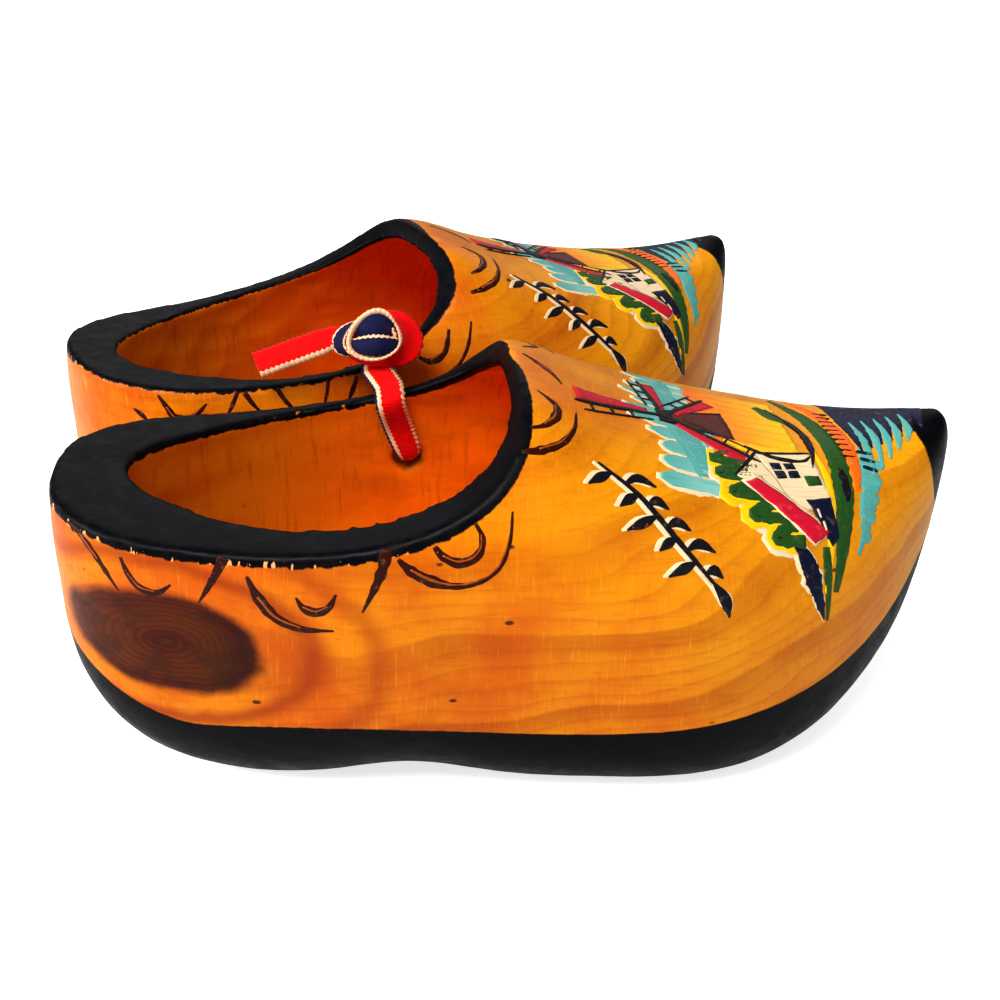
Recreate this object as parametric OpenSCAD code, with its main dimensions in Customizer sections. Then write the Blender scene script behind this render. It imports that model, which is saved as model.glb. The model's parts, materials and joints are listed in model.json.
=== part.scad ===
// A pair of carved wooden clogs, tied together by one ribbon.
// Frame: millimetres, +Z up, +X towards the toe of the right clog. The origin is on the floor,
// at the centre of the right clog's heel pad. The left clog stands beside it, towards +Y.

/* [Clog outline] */
// Length of one clog, from the back of the heel to the toe tip
clog_l = 140; // [130:1:150]
// Half width of the heel
heel_half_w = 18.3; // [17:0.1:20]
// Half width at the waist, beside the opening
waist_half_w = 26.7; // [25:0.1:28]
// Half width at the ball of the foot
ball_half_w = 30.9; // [29:0.1:33]
// Sideways shift of the toe tip, towards the other clog
toe_shift = 1.6; // [0:0.1:4]

/* [Side profile] */
// Height of the rearmost point of the heel
heel_back_h = 32.3; // [28:0.1:36]
// Height of the arch under the waist
arch_h = 3.3; // [2:0.1:5]
// Height of the toe tip's foremost point
toe_tip_h = 37.3; // [34:0.1:40]
// Height of the vamp at the throat of the opening
throat_h = 60.9; // [56:0.1:63]
// Height of the lowest point of the vamp, between throat and toe
saddle_h = 48.2; // [45:0.1:50]
// Depth worn or sanded flat under the heel and the ball
sole_flat = 0.5; // [0.3:0.1:1]

/* [Opening] */
// Distance from the back of the heel to the throat of the right clog's opening
throat_x = 68.7; // [66:0.1:70]
// Height of the rim at the back of the heel
heel_rim_h = 46.1; // [44:0.1:48]
// Height that the left clog's rim stands above the right one's beside the heel
left_rim_up = 0.8; // [0:0.1:1.5]
// Distance that the left clog's throat sits further back than the right one's
left_throat_back = 1.8; // [0:0.1:4]
// Thickness of the right clog's heel wall at the rim
right_heel_wall = 10.8; // [9:0.1:12]
// Thickness of the left clog's heel wall at the rim
left_heel_wall = 8.3; // [7:0.1:10]
// Thickness of the right clog's outer side wall
right_outer_wall = 7.4; // [6:0.1:8]
// Thickness of the left clog's outer side wall
left_outer_wall = 3.8; // [3.5:0.1:6]
// Thickness of the side walls that face the other clog
inner_wall = 3.8; // [3.6:0.1:5]
// Thickness of the vamp over the foot
vamp_wall = 4; // [3:0.1:5]
// Height of the footbed above the floor at the heel
footbed_h = 13; // [10:0.5:16]
// Distance from the toe tip back to the end of the hollow
toe_block = 26; // [22:1:32]

/* [Ribbon] */
// Diameter of the ribbon hole in the inner wall of each clog
ribbon_hole_d = 5; // [4.8:0.1:5.6]
// Distance of the ribbon hole from the back of the heel
ribbon_hole_x = 54; // [53:0.5:56]
// Height of the ribbon hole above the floor
ribbon_hole_z = 33; // [32:0.5:34]
// Width of the ribbon, curled as it lies over the rims and at its tails
ribbon_w = 5; // [4:0.1:5.6]
// Thickness of the ribbon, with its curl
ribbon_t = 0.9; // [0.6:0.1:1]
// Height of the knot's middle above the floor
knot_z = 52.8; // [52.4:0.1:54]
// Length of the longer tail of the ribbon
long_tail_l = 14.5; // [12:0.5:18]
// Length of the shorter tail of the ribbon
short_tail_l = 5; // [4:0.5:6]

/* [Pair] */
// Distance between the two clogs' middles, across
pair_y = 63.3; // [63:0.1:68]
// Distance that the left clog stands back from the right one
pair_back = 8.2; // [4:0.1:12]
// Angle that the left clog's toe points outwards
splay = 22; // [18:0.5:26]

/* [Hidden] */

// The origin's distance from the back of the heel, which is the middle of the heel pad.
heel_pad_x = 30;
// The left clog turns about this point of its length when it splays.
turn_x = 0.45 * clog_l;
// Stations along a clog and points round each of its sections.
outer_stations = 46;
outer_points = 40;
hollow_stations = 30;
hollow_points = 28;
rim_steps = 28;

wood = "#d9922e";
ribbon_red = "#c8141e";
ribbon_white = "#efe2cf";

function limit(u) = min(1, max(0, u));

// Rises from 0 to 1 along a superellipse as u goes from 0 to 1.
function cap(u, p) = pow(max(1 - pow(1 - limit(u), p), 0), 1 / p);

// Smooth curve through the knots [x, value], with each slope taken from its neighbours.
function slope(k, i) =
    let (a = max(i - 1, 0), b = min(i + 1, len(k) - 1))
    (k[b][1] - k[a][1]) / (k[b][0] - k[a][0]);
function span(k, x, i = 0) = i >= len(k) - 2 || x <= k[i + 1][0] ? i : span(k, x, i + 1);
function curve(k, x_in) =
    let (
        x = min(max(x_in, k[0][0]), k[len(k) - 1][0]),
        i = span(k, x),
        h = k[i + 1][0] - k[i][0],
        t = (x - k[i][0]) / h
    )
    (2 * pow(t, 3) - 3 * pow(t, 2) + 1) * k[i][1]
    + (pow(t, 3) - 2 * pow(t, 2) + t) * h * slope(k, i)
    + (-2 * pow(t, 3) + 3 * pow(t, 2)) * k[i + 1][1]
    + (pow(t, 3) - pow(t, 2)) * h * slope(k, i + 1);

// Half width before the heel and the toe are rounded off.
half_w_knots = [
    [0, heel_half_w], [0.3 * clog_l, waist_half_w], [0.5 * clog_l, (waist_half_w + ball_half_w) / 2],
    [0.68 * clog_l, ball_half_w], [clog_l, 0.915 * ball_half_w]
];
heel_round = 19.2;
toe_taper_x = 0.612 * clog_l;
function side(x) = curve(half_w_knots, x);
function toe_taper(x) =
    let (t = limit((x - toe_taper_x) / (clog_l - toe_taper_x)))
    pow(max(1 - pow(t, 2.76), 0), 0.885);
function half_w(x) = side(x) * cap(x / heel_round, 2.62) * toe_taper(x);

// The middle line bends towards the other clog from a third of the length on.
function middle(x) = toe_shift * pow(limit((x - 0.35 * clog_l) / (0.65 * clog_l)), 1.8);

// Underside: rounded heel, arch, ball, then the sweep up to the toe.
heel_sweep = 32.8;
toe_sweep_x = 0.673 * clog_l;
function underside(x) =
    let (
        arch = arch_h * exp(-pow((x - 0.37 * clog_l) / (0.085 * clog_l), 2)),
        heel = arch + (heel_back_h - arch) * (1 - cap(x / heel_sweep, 2.42)),
        t = limit((x - toe_sweep_x) / (clog_l - toe_sweep_x))
    )
    heel + (toe_tip_h - heel) * (1 - pow(max(1 - pow(t, 2.52), 0), 0.714));

// Ridge: over the opening it is the block before carving, then the vamp, saddle and raised toe.
ridge_knots = [
    [0, heel_rim_h + 8], [0.25 * clog_l, heel_rim_h + 13], [throat_x, throat_h],
    [0.58 * clog_l, throat_h - 4.6], [0.72 * clog_l, saddle_h + 2.3], [0.86 * clog_l, saddle_h],
    [0.96 * clog_l, saddle_h + 2], [1.02 * clog_l, saddle_h + 4.5]
];
tip_round = 3;
function ridge(x) =
    let (
        at_heel = heel_back_h + (curve(ridge_knots, x) - heel_back_h) * cap(x / 3, 2.5)
    )
    toe_tip_h + (at_heel - toe_tip_h) * cap((clog_l - x) / tip_round, 2);

// Keeps a height off the bottom and the top of a section.
function kept_inside(z, low, high) = min(max(z, low + 0.3 * (high - low)), low + 0.75 * (high - low));

// Height at which each section is widest.
widest_knots = [[0, 39.1], [0.3 * clog_l, 33.1], [0.6 * clog_l, 23.6], [clog_l, 27.6]];
function widest(x) =
    let (
        low = underside(x),
        high = ridge(x),
        free = heel_back_h + (curve(widest_knots, x) - heel_back_h) * cap(x / 20, 2)
    )
    kept_inside(free, low, high);

// One closed section: square-shouldered below its widest height and rounder above it. Over the
// widest height, the side towards the other clog may be rounder still.
lower_power = 4.94;
upper_power = 2.53;
inner_quarter_power = 2.1;
inner_vamp_power = 3;
vamp_from = 0.4 * clog_l;
vamp_full = 0.52 * clog_l;
function inner_upper_power(x) =
    let (t = limit((x - vamp_from) / (vamp_full - vamp_from)))
    inner_quarter_power + (inner_vamp_power - inner_quarter_power) * t * t * (3 - 2 * t);
function bent(v, p) = sign(v) * pow(abs(v), 2 / p);
function section(x, mid, w, low, wide, high, n, inner_power = upper_power) = [
    for (j = [0 : n - 1])
        let (
            a = 360 * j / n,
            above_power = cos(a) > 0 ? inner_power : upper_power,
            p = sin(a) > 0 ? above_power : lower_power,
            tall = sin(a) > 0 ? high - wide : wide - low
        )
        [x, mid + w * bent(cos(a), p), wide + tall * bent(sin(a), p)]
];

// A closed skin through sections, with its first and last points as tips.
module skin(tip_a, sections, tip_b) {
    m = len(sections);
    n = len(sections[0]);
    points = concat([tip_a], [for (s = sections) each s], [tip_b]);
    ends = [
        for (j = [0 : n - 1])
            let (k = (j + 1) % n)
            each [[0, 1 + j, 1 + k], [1 + n * m, 1 + n * (m - 1) + k, 1 + n * (m - 1) + j]]
    ];
    walls = [
        for (i = [0 : m - 2], j = [0 : n - 1])
            let (a = 1 + n * i + j, b = 1 + n * i + (j + 1) % n)
            each [[a, a + n, b], [b, a + n, b + n]]
    ];
    polyhedron(points, concat(ends, walls));
}

// Stations crowd towards both ends, where the form turns fastest.
function stations(x0, x1, n) = [for (i = [1 : n - 1]) x0 + (x1 - x0) * (1 - cos(180 * i / n)) / 2];

module outer_form() {
    skin(
        [0, middle(0), heel_back_h],
        [for (x = stations(0, clog_l, outer_stations))
            section(x, middle(x), half_w(x), underside(x), widest(x), ridge(x), outer_points,
                    inner_upper_power(x))],
        [clog_l, middle(clog_l), toe_tip_h]
    );
}

// How each clog's opening is cut: [heel wall, outer wall, rim raised, throat set back].
right_cut = [right_heel_wall, right_outer_wall, 0, 0];
left_cut = [left_heel_wall, left_outer_wall, left_rim_up, left_throat_back];

// Hollow for the foot: it follows the outside, one wall thickness in on each side.
hollow_end = clog_l - toe_block;
hollow_back_round = 31;
hollow_front_round = 34;
bed_back_round = 16;
bed_front_round = 20;
roof_front_round = 24;
hollow_back_z = heel_rim_h - 10;
hollow_front_z = 28;
bed_knots = [
    [0, footbed_h], [0.37 * clog_l, footbed_h + 1], [0.7 * clog_l, footbed_h - 4], [clog_l, footbed_h + 8]
];
function hollow_middle(x, cut) = middle(x) + (cut[1] - inner_wall) / 2;
function hollow_half_w(x, cut) =
    (side(x) - (cut[1] + inner_wall) / 2)
    * cap((x - cut[0]) / hollow_back_round, 2) * cap((hollow_end - x) / hollow_front_round, 1.9);
function hollow_tip(x) = x < clog_l / 2 ? hollow_back_z : hollow_front_z;
function hollow_low(x, cut) =
    let (
        bed = curve(bed_knots, x),
        round_off = cap((x - cut[0]) / bed_back_round, 2.2) * cap((hollow_end - x) / bed_front_round, 2)
    )
    bed + (hollow_tip(x) - bed) * (1 - round_off);
function hollow_high(x, cut) =
    let (
        roof = ridge(x) - vamp_wall,
        round_off = cap((x - cut[0]) / 2, 2.5) * cap((hollow_end - x) / roof_front_round, 2)
    )
    hollow_tip(x) + (roof - hollow_tip(x)) * round_off;
function hollow_wide(x, cut) = kept_inside(widest(x), hollow_low(x, cut), hollow_high(x, cut));

module hollow(cut) {
    skin(
        [cut[0], hollow_middle(cut[0], cut), hollow_back_z],
        [for (x = stations(cut[0], hollow_end, hollow_stations))
            section(x, hollow_middle(x, cut), hollow_half_w(x, cut), hollow_low(x, cut),
                    hollow_wide(x, cut), hollow_high(x, cut), hollow_points)],
        [hollow_end, hollow_middle(hollow_end, cut), hollow_front_z]
    );
}

// Side view of the rim: it dips beside the heel, then climbs steeply to the throat.
rim_dip_x = 55.5;
rim_dip = 8.4;
rim_climb = 8.8;
function rim_at(t, cut) =
    let (
        start = [0, heel_rim_h + cut[2]],
        dip = [rim_dip_x - cut[3], heel_rim_h - rim_dip + cut[2]],
        end = [throat_x - cut[3], throat_h]
    )
    pow(1 - t, 3) * start + 3 * pow(1 - t, 2) * t * dip
    + 3 * (1 - t) * pow(t, 2) * (end - [0.9, rim_climb]) + pow(t, 3) * end;

module above_rim(cut) {
    above = 30;
    throat = rim_at(1, cut);
    outline = concat(
        [[-above, heel_rim_h + 1 + cut[2]]],
        [for (i = [0 : rim_steps]) rim_at(i / rim_steps, cut)],
        [throat + [0, above], [-above, throat[1] + above]]
    );
    translate([0, clog_l / 2, 0])
        rotate([90, 0, 0])
            linear_extrude(clog_l)
                polygon(outline);
}

module below_floor() {
    translate([-clog_l, -clog_l, -clog_l])
        cube([3 * clog_l, 2 * clog_l, clog_l]);
}

// The hole runs straight through the inner wall only.
module ribbon_hole() {
    translate([ribbon_hole_x, 0, ribbon_hole_z])
        rotate([-90, 0, 0])
            cylinder(d = ribbon_hole_d, h = clog_l / 2, $fn = 32);
}

// One clog in its own frame: heel at x 0, middle at y 0, and the other clog towards +Y.
module clog(cut) {
    difference() {
        translate([0, 0, -sole_flat])
            outer_form();
        above_rim(cut);
        hollow(cut);
        ribbon_hole();
        below_floor();
    }
}

module place_right() {
    translate([-heel_pad_x, 0, 0])
        children();
}

module place_left() {
    translate([turn_x - heel_pad_x - pair_back, pair_y, 0])
        rotate([0, 0, splay])
            mirror([0, 1, 0])
                translate([-turn_x, 0, 0])
                    children();
}

module right_clog() {
    color(wood)
        place_right()
            clog(right_cut);
}

module left_clog() {
    color(wood)
        place_left()
            clog(left_cut);
}

// The same two placings, for a point of a clog's own frame.
function in_right(p) = [p[0] - heel_pad_x, p[1], p[2]];
function in_left(p) =
    let (u = p[0] - turn_x, v = -p[1])
    [
        turn_x - heel_pad_x - pair_back + u * cos(splay) - v * sin(splay),
        pair_y + u * sin(splay) + v * cos(splay),
        p[2]
    ];

// Faces of the inner wall at distance x from the heel and height z, above its widest height.
function shoulder(z, wide, high, p) = pow(1 - pow(limit((z - wide) / (high - wide)), p), 1 / p);
function outer_face(x, z) =
    middle(x) + half_w(x) * shoulder(z + sole_flat, widest(x), ridge(x), inner_upper_power(x));
function inner_face(x, z, cut) =
    hollow_middle(x, cut)
    + hollow_half_w(x, cut) * shoulder(z, hollow_wide(x, cut), hollow_high(x, cut), upper_power);

// The ribbon is laid along paths of stations [x, y, z, width, thickness].
ribbon_steps = 5;
function along(path, c, s) = curve([for (i = [0 : len(path) - 1]) [i, path[i][c]]], s);
function place(path, s) = [for (c = [0 : 2]) along(path, c, s)];
function unit(v) = v / norm(v);
function heading(path, s) = unit(place(path, s + 0.02) - place(path, s - 0.02));
function band(path, across, s) =
    let (
        here = place(path, s),
        ahead = heading(path, s),
        thick = unit(cross(ahead, across)),
        wide = cross(thick, ahead),
        w = along(path, 3, s) / 2 * wide,
        t = along(path, 4, s) / 2 * thick
    )
    [here + w + t, here - w + t, here - w - t, here + w - t];

module strip(path, across) {
    last = len(path) - 1;
    skin(
        place(path, 0),
        [for (i = [0 : ribbon_steps * last]) band(path, across, i / ribbon_steps)],
        place(path, last)
    );
}

// A leg of the ribbon crosses the rim at this share of the rim's length.
cross_t = 0.442;
rim_gap = ribbon_t / 2 + 0.6;
wall_gap = ribbon_t / 2 + 0.8;
// Width and thickness of the ribbon where it is folded to pass through the holes.
folded_w = 2.6;
folded_t = 1.6;
gathered_w = 0.9 * ribbon_w;
function leg_point(p) = concat(p, [ribbon_w, ribbon_t]);
function rim_slope(cut) = unit(rim_at(cross_t + 0.02, cut) - rim_at(cross_t - 0.02, cut));

// Down from the rim to the mouth of the ribbon hole, in a clog's own frame.
function leg_inside(cut) =
    let (
        x = rim_at(cross_t, cut)[0],
        z = rim_at(cross_t, cut)[1],
        inside = inner_face(x, z, cut),
        half_x = (x + ribbon_hole_x) / 2,
        half_z = (z + ribbon_hole_z) / 2,
        low_z = ribbon_hole_z + 2,
        at_hole = inner_face(ribbon_hole_x, ribbon_hole_z, cut)
    )
    [
        leg_point([x, outer_face(x, z) - 0.5, z + rim_gap]),
        leg_point([x, inside + 0.4, z + rim_gap]),
        leg_point([x, inside - 1, z + 0.4]),
        leg_point([x + 0.2, inside - wall_gap - 0.3, z - 1.5]),
        leg_point([half_x, inner_face(half_x, half_z, cut) - wall_gap, half_z]),
        [ribbon_hole_x, inner_face(ribbon_hole_x, low_z, cut) - wall_gap, low_z, gathered_w, ribbon_t],
        [ribbon_hole_x, at_hole - 0.4, ribbon_hole_z, folded_w, ribbon_t]
    ];
function moved(p, at) = concat(at, [p[3], p[4]]);
right_leg_inside = [for (p = leg_inside(right_cut)) moved(p, in_right(p))];
left_leg_inside = [for (p = leg_inside(left_cut)) moved(p, in_left(p))];

// The knot sits over the gap between the rims, and the legs leave it on either side below.
knot_half = [6.7, 4.3, 4.2];
knot_back = 0.8;
knot_aside = 0.8;
knot_place = [
    right_leg_inside[0][0] - knot_back,
    (right_leg_inside[0][1] + left_leg_inside[0][1]) / 2 + knot_aside,
    knot_z
];
knot_gap = 1.2;
knot_under = knot_place - [0, 0, knot_half[2] + knot_gap];
right_leg_start = knot_under + [-0.8, -1.6, 0];
left_leg_start = knot_under + [1.4, 1.6, 0];

module ribbon_knot() {
    knob_d = 2 * knot_half[2];
    color(ribbon_red)
        translate(knot_place)
            hull()
                for (sx = [-1, 1], sy = [-1, 1])
                    translate([sx * (knot_half[0] - knot_half[2]), sy * (knot_half[1] - knot_half[2]), 0])
                        sphere(d = knob_d, $fn = 20);
}

module ribbon_right_leg() {
    slope = rim_slope(right_cut);
    color(ribbon_red)
        strip(concat([leg_point(right_leg_start)], right_leg_inside), [slope[0], 0, slope[1]]);
}

module ribbon_left_leg() {
    slope = rim_slope(left_cut);
    across = slope[0] * [cos(splay), sin(splay), 0] + [0, 0, slope[1]];
    color(ribbon_red)
        strip(concat([leg_point(left_leg_start)], left_leg_inside), across);
}

// Through the right hole, over the gap and into the left hole.
function hole_point(y) = [ribbon_hole_x, y, ribbon_hole_z, folded_w, folded_t];
hole_outside = outer_face(ribbon_hole_x, ribbon_hole_z);
right_hole_inside = inner_face(ribbon_hole_x, ribbon_hole_z, right_cut);
left_hole_inside = inner_face(ribbon_hole_x, ribbon_hole_z, left_cut);
module ribbon_bridge() {
    right_end = hole_point(right_hole_inside + 0.6);
    left_end = hole_point((hole_outside + left_hole_inside) / 2);
    mouth = hole_point(hole_outside);
    color(ribbon_white)
        strip([moved(right_end, in_right(right_end)), moved(mouth, in_right(mouth)),
               moved(mouth, in_left(mouth)), moved(left_end, in_left(left_end))], [1, 0, 0]);
}

// The tails leave the knot at its end towards the heels and at its back, each flat across its own way.
tail_gap = 0.7;
long_tail_root = knot_place - [knot_half[0] + tail_gap, 0, 0];
long_tail_way = [-0.94, -0.25, -0.24];
long_tail_across = [0, 0.8, 0.6];
short_tail_root = knot_place + [1, knot_half[1] + 1.4 * tail_gap, 0];
short_tail_way = [0.3, 0.93, -0.2];
short_tail_across = [0.95, -0.31, 0];
function tail(root, way, tail_l) = [
    for (u = [0, 0.5, 1])
        concat(root + tail_l * u * way, [ribbon_w, ribbon_t])
];

module ribbon_long_tail() {
    color(ribbon_red)
        strip(tail(long_tail_root, long_tail_way, long_tail_l), long_tail_across);
}

module ribbon_short_tail() {
    color(ribbon_red)
        strip(tail(short_tail_root, short_tail_way, short_tail_l), short_tail_across);
}

right_clog();
left_clog();
ribbon_bridge();
ribbon_right_leg();
ribbon_left_leg();
ribbon_knot();
ribbon_long_tail();
ribbon_short_tail();
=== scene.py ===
import json
import math
import random

import bmesh
import bpy
import numpy as np
from mathutils import Matrix, Vector, noise
from mathutils.bvhtree import BVHTree


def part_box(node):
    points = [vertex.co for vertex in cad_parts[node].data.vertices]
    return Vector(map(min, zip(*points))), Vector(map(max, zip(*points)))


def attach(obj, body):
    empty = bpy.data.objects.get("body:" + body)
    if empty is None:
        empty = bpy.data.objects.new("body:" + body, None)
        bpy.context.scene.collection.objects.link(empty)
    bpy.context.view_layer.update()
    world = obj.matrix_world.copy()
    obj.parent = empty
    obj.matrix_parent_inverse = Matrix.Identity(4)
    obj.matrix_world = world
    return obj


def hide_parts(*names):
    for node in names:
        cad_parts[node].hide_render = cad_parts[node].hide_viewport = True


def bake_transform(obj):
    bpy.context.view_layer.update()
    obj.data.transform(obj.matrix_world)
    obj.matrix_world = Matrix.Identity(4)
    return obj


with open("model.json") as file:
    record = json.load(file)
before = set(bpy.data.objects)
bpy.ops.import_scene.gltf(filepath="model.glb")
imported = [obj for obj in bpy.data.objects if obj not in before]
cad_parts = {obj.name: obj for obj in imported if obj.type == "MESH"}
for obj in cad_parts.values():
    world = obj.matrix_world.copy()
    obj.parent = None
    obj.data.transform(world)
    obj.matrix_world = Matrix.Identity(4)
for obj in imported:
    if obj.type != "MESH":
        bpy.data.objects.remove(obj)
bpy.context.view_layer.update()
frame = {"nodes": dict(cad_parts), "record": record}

# A pair of painted wooden clogs tied by a ribbon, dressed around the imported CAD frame.
# Blender lengths are metres. Each clog also has its own frame in millimetres, which every
# pattern uses: the origin under its heel pad, +x to its toe, +y to the other clog, +z up.

MM = 0.001
MOUNTS = {m["name"]: Vector(m["pos_m"]) for m in frame["record"]["mounts"]}


# ---------------------------------------------------------------- the clogs' own frames

class Clog:
    """One clog of the pair, and the way between the row frame and its own frame."""

    def __init__(self, side, body, inner_sign):
        self.side = side
        self.node = side + "_clog"
        self.body = body
        self.heel = MOUNTS[side + "_heel_pad"]
        own = MOUNTS["right_ball_pad"] - MOUNTS["right_heel_pad"]
        here = MOUNTS[side + "_ball_pad"] - self.heel
        turn = math.atan2(here.y, here.x) - inner_sign * math.atan2(own.y, own.x)
        self.rows = np.array([
            [math.cos(turn), math.sin(turn), 0],
            [-inner_sign * math.sin(turn), inner_sign * math.cos(turn), 0],
            [0, 0, 1],
        ])

    def to_own(self, places):
        return (np.asarray(places, float) - np.array(self.heel)) @ self.rows.T / MM

    def to_row(self, own):
        return np.asarray(own, float) * MM @ self.rows + np.array(self.heel)


RIGHT = Clog("right", "right_clog", 1)
LEFT = Clog("left", "left_clog", -1)


# ---------------------------------------------------------------- carving the wood

SHARP = math.radians(38)
FLAT_QUADS = math.radians(30)
SQUARE_QUADS = math.radians(60)
WELD = 0.002 * MM
VOXEL = 0.6 * MM
RIM_ABOVE = 42
BEHIND_THROAT = 41
RIM_STEP = 1
PLAIN_BY_RIM = 3


def vertices_of(mesh):
    co = np.zeros(len(mesh.vertices) * 3, np.float32)
    mesh.vertices.foreach_get("co", co)
    return co.reshape(-1, 3).astype(float)


def normals_of(mesh):
    out = np.zeros(len(mesh.vertices) * 3, np.float32)
    mesh.vertices.foreach_get("normal", out)
    return out.reshape(-1, 3).astype(float)


def set_vertices(mesh, co):
    mesh.vertices.foreach_set("co", co.astype(np.float32).ravel())
    mesh.update()


def linked(name, data):
    """A new object in the scene."""
    piece = bpy.data.objects.new(name, data)
    bpy.context.scene.collection.objects.link(piece)
    return piece


def outward_mesh(name, points, faces):
    """A closed mesh whose faces all look outwards."""
    mesh = bpy.data.meshes.new(name)
    mesh.from_pydata(points, [], faces)
    bm = bmesh.new()
    bm.from_mesh(mesh)
    bmesh.ops.recalc_face_normals(bm, faces=bm.faces)
    bm.to_mesh(mesh)
    bm.free()
    return mesh


def relax(co, edges, times, share):
    """Moves each vertex a share of the way to its neighbours' mean, some times over."""
    a, b = edges[:, 0], edges[:, 1]
    n = len(co)
    count = np.bincount(a, minlength=n) + np.bincount(b, minlength=n)
    for _ in range(times):
        mean = np.stack([
            np.bincount(a, co[b, k], n) + np.bincount(b, co[a, k], n) for k in range(3)
        ], axis=1) / count[:, None]
        co = co + share * (mean - co)
    return co


def skins_of(bm):
    """Splits a clog's faces at its sharp edges: the hollow is the second largest stretch."""
    stretch = [-1] * len(bm.faces)
    areas = []
    for first in bm.faces:
        if stretch[first.index] >= 0:
            continue
        number = len(areas)
        areas.append(0.0)
        waiting = [first]
        stretch[first.index] = number
        while waiting:
            face = waiting.pop()
            areas[number] += face.calc_area()
            for edge in face.edges:
                if edge.is_manifold and edge.calc_face_angle() > SHARP:
                    continue
                for other in edge.link_faces:
                    if stretch[other.index] < 0:
                        stretch[other.index] = number
                        waiting.append(other)
    order = sorted(range(len(areas)), key=lambda k: -areas[k])
    return stretch, order[1]


def rim_line(clog, bm):
    """The rim's side view in the clog's own frame, from the sharp edge round its outside."""
    points = set()
    for edge in bm.edges:
        if edge.is_manifold and edge.calc_face_angle() > SHARP:
            for v in edge.verts:
                x, _, z = clog.to_own(v.co)
                if z > RIM_ABOVE and x < BEHIND_THROAT:
                    points.add((round(x, 2), round(z, 2)))
    points = sorted(points)
    kept = [points[0]]
    for p in points[1:]:
        if math.dist(p, kept[-1]) > RIM_STEP:
            kept.append(p)
    return np.array(kept)


def distance_to_line(points, line):
    """Distance from each 2D point to a polyline."""
    best = np.full(len(points), np.inf)
    for p, q in zip(line[:-1], line[1:]):
        d = q - p
        t = np.clip(((points - p) @ d) / (d @ d), 0, 1)
        best = np.minimum(best, np.linalg.norm(points - (p + t[:, None] * d), axis=1))
    return best


def attribute(mesh, name, values):
    kind = "FLOAT_VECTOR" if values.ndim == 2 else "FLOAT"
    layer = mesh.attributes.new(name, kind, "POINT")
    key = "vector" if values.ndim == 2 else "value"
    layer.data.foreach_set(key, values.astype(np.float32).ravel())


def gouge_depth(clog, own, hollow):
    """Depth of the tool marks in mm: gouge scallops in the hollow, and faint flats outside."""
    scallop, deep = (5.2, 0.62) if clog is LEFT else (8.5, 0.3)
    depth = np.zeros(len(own))
    for i, (x, y, z) in enumerate(own):
        if hollow[i]:
            place = Vector((x * 0.62, y, z)) / scallop
            near = noise.voronoi(place, distance_metric="DISTANCE")[0][0]
            depth[i] = deep * max(0.0, 0.45 - near * near)
        else:
            place = Vector((x * 0.05, y * 0.08, z * 0.08))
            depth[i] = 0.16 * noise.noise(place) + 0.05 * noise.noise(place * 5)
    return depth


def carve(clog):
    """A dense, rounded mesh of one clog, made from its CAD node, with the fields its paint needs."""
    bm = bmesh.new()
    bm.from_mesh(frame["nodes"][clog.node].data)
    bmesh.ops.remove_doubles(bm, verts=bm.verts, dist=WELD)
    bmesh.ops.join_triangles(bm, faces=bm.faces, angle_face_threshold=FLAT_QUADS,
                             angle_shape_threshold=SQUARE_QUADS)
    bm.faces.ensure_lookup_table()
    bm.faces.index_update()
    stretch, hollow_skin = skins_of(bm)
    line = rim_line(clog, bm)
    tree = BVHTree.FromBMesh(bm)
    crease = bm.edges.layers.float.new("crease_edge")
    for edge in bm.edges:
        if edge.is_manifold and edge.calc_face_angle() > SHARP:
            edge[crease] = 1.0
    mesh = bpy.data.meshes.new("rough")
    bm.to_mesh(mesh)
    bm.free()
    rough = linked("rough", mesh)
    rounded = rough.modifiers.new("rounded", "SUBSURF")
    rounded.levels = 2
    dense = rough.modifiers.new("dense", "REMESH")
    dense.mode = "VOXEL"
    dense.voxel_size = VOXEL
    final = bpy.data.meshes.new_from_object(rough.evaluated_get(bpy.context.evaluated_depsgraph_get()))
    bpy.data.objects.remove(rough)

    edges = np.zeros(len(final.edges) * 2, np.int32)
    final.edges.foreach_get("vertices", edges)
    edges = edges.reshape(-1, 2)
    set_vertices(final, relax(vertices_of(final), edges, 5, 0.5))
    co, out = vertices_of(final), normals_of(final)
    own = clog.to_own(co)
    nearest = [tree.find_nearest(Vector(p))[2] for p in co]
    hollow = np.array([stretch[k] == hollow_skin for k in nearest])
    rim_mm = distance_to_line(own[:, [0, 2]], line)
    fade = np.clip(rim_mm / PLAIN_BY_RIM, 0, 1)
    co = co - out * (gouge_depth(clog, own, hollow) * fade * MM)[:, None]
    co[:, 2] = np.maximum(co[:, 2], 0)
    set_vertices(final, co)
    final.polygons.foreach_set("use_smooth", [True] * len(final.polygons))
    own = clog.to_own(co)
    attribute(final, "own_mm", own)
    attribute(final, "rim_mm", rim_mm)
    attribute(final, "hollow", hollow.astype(float))
    piece = linked(clog.side + "_clog_wood", final)
    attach(piece, clog.body)
    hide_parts(clog.node)
    return piece, BVHTree.FromObject(piece, bpy.context.evaluated_depsgraph_get())


# ---------------------------------------------------------------- materials

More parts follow.
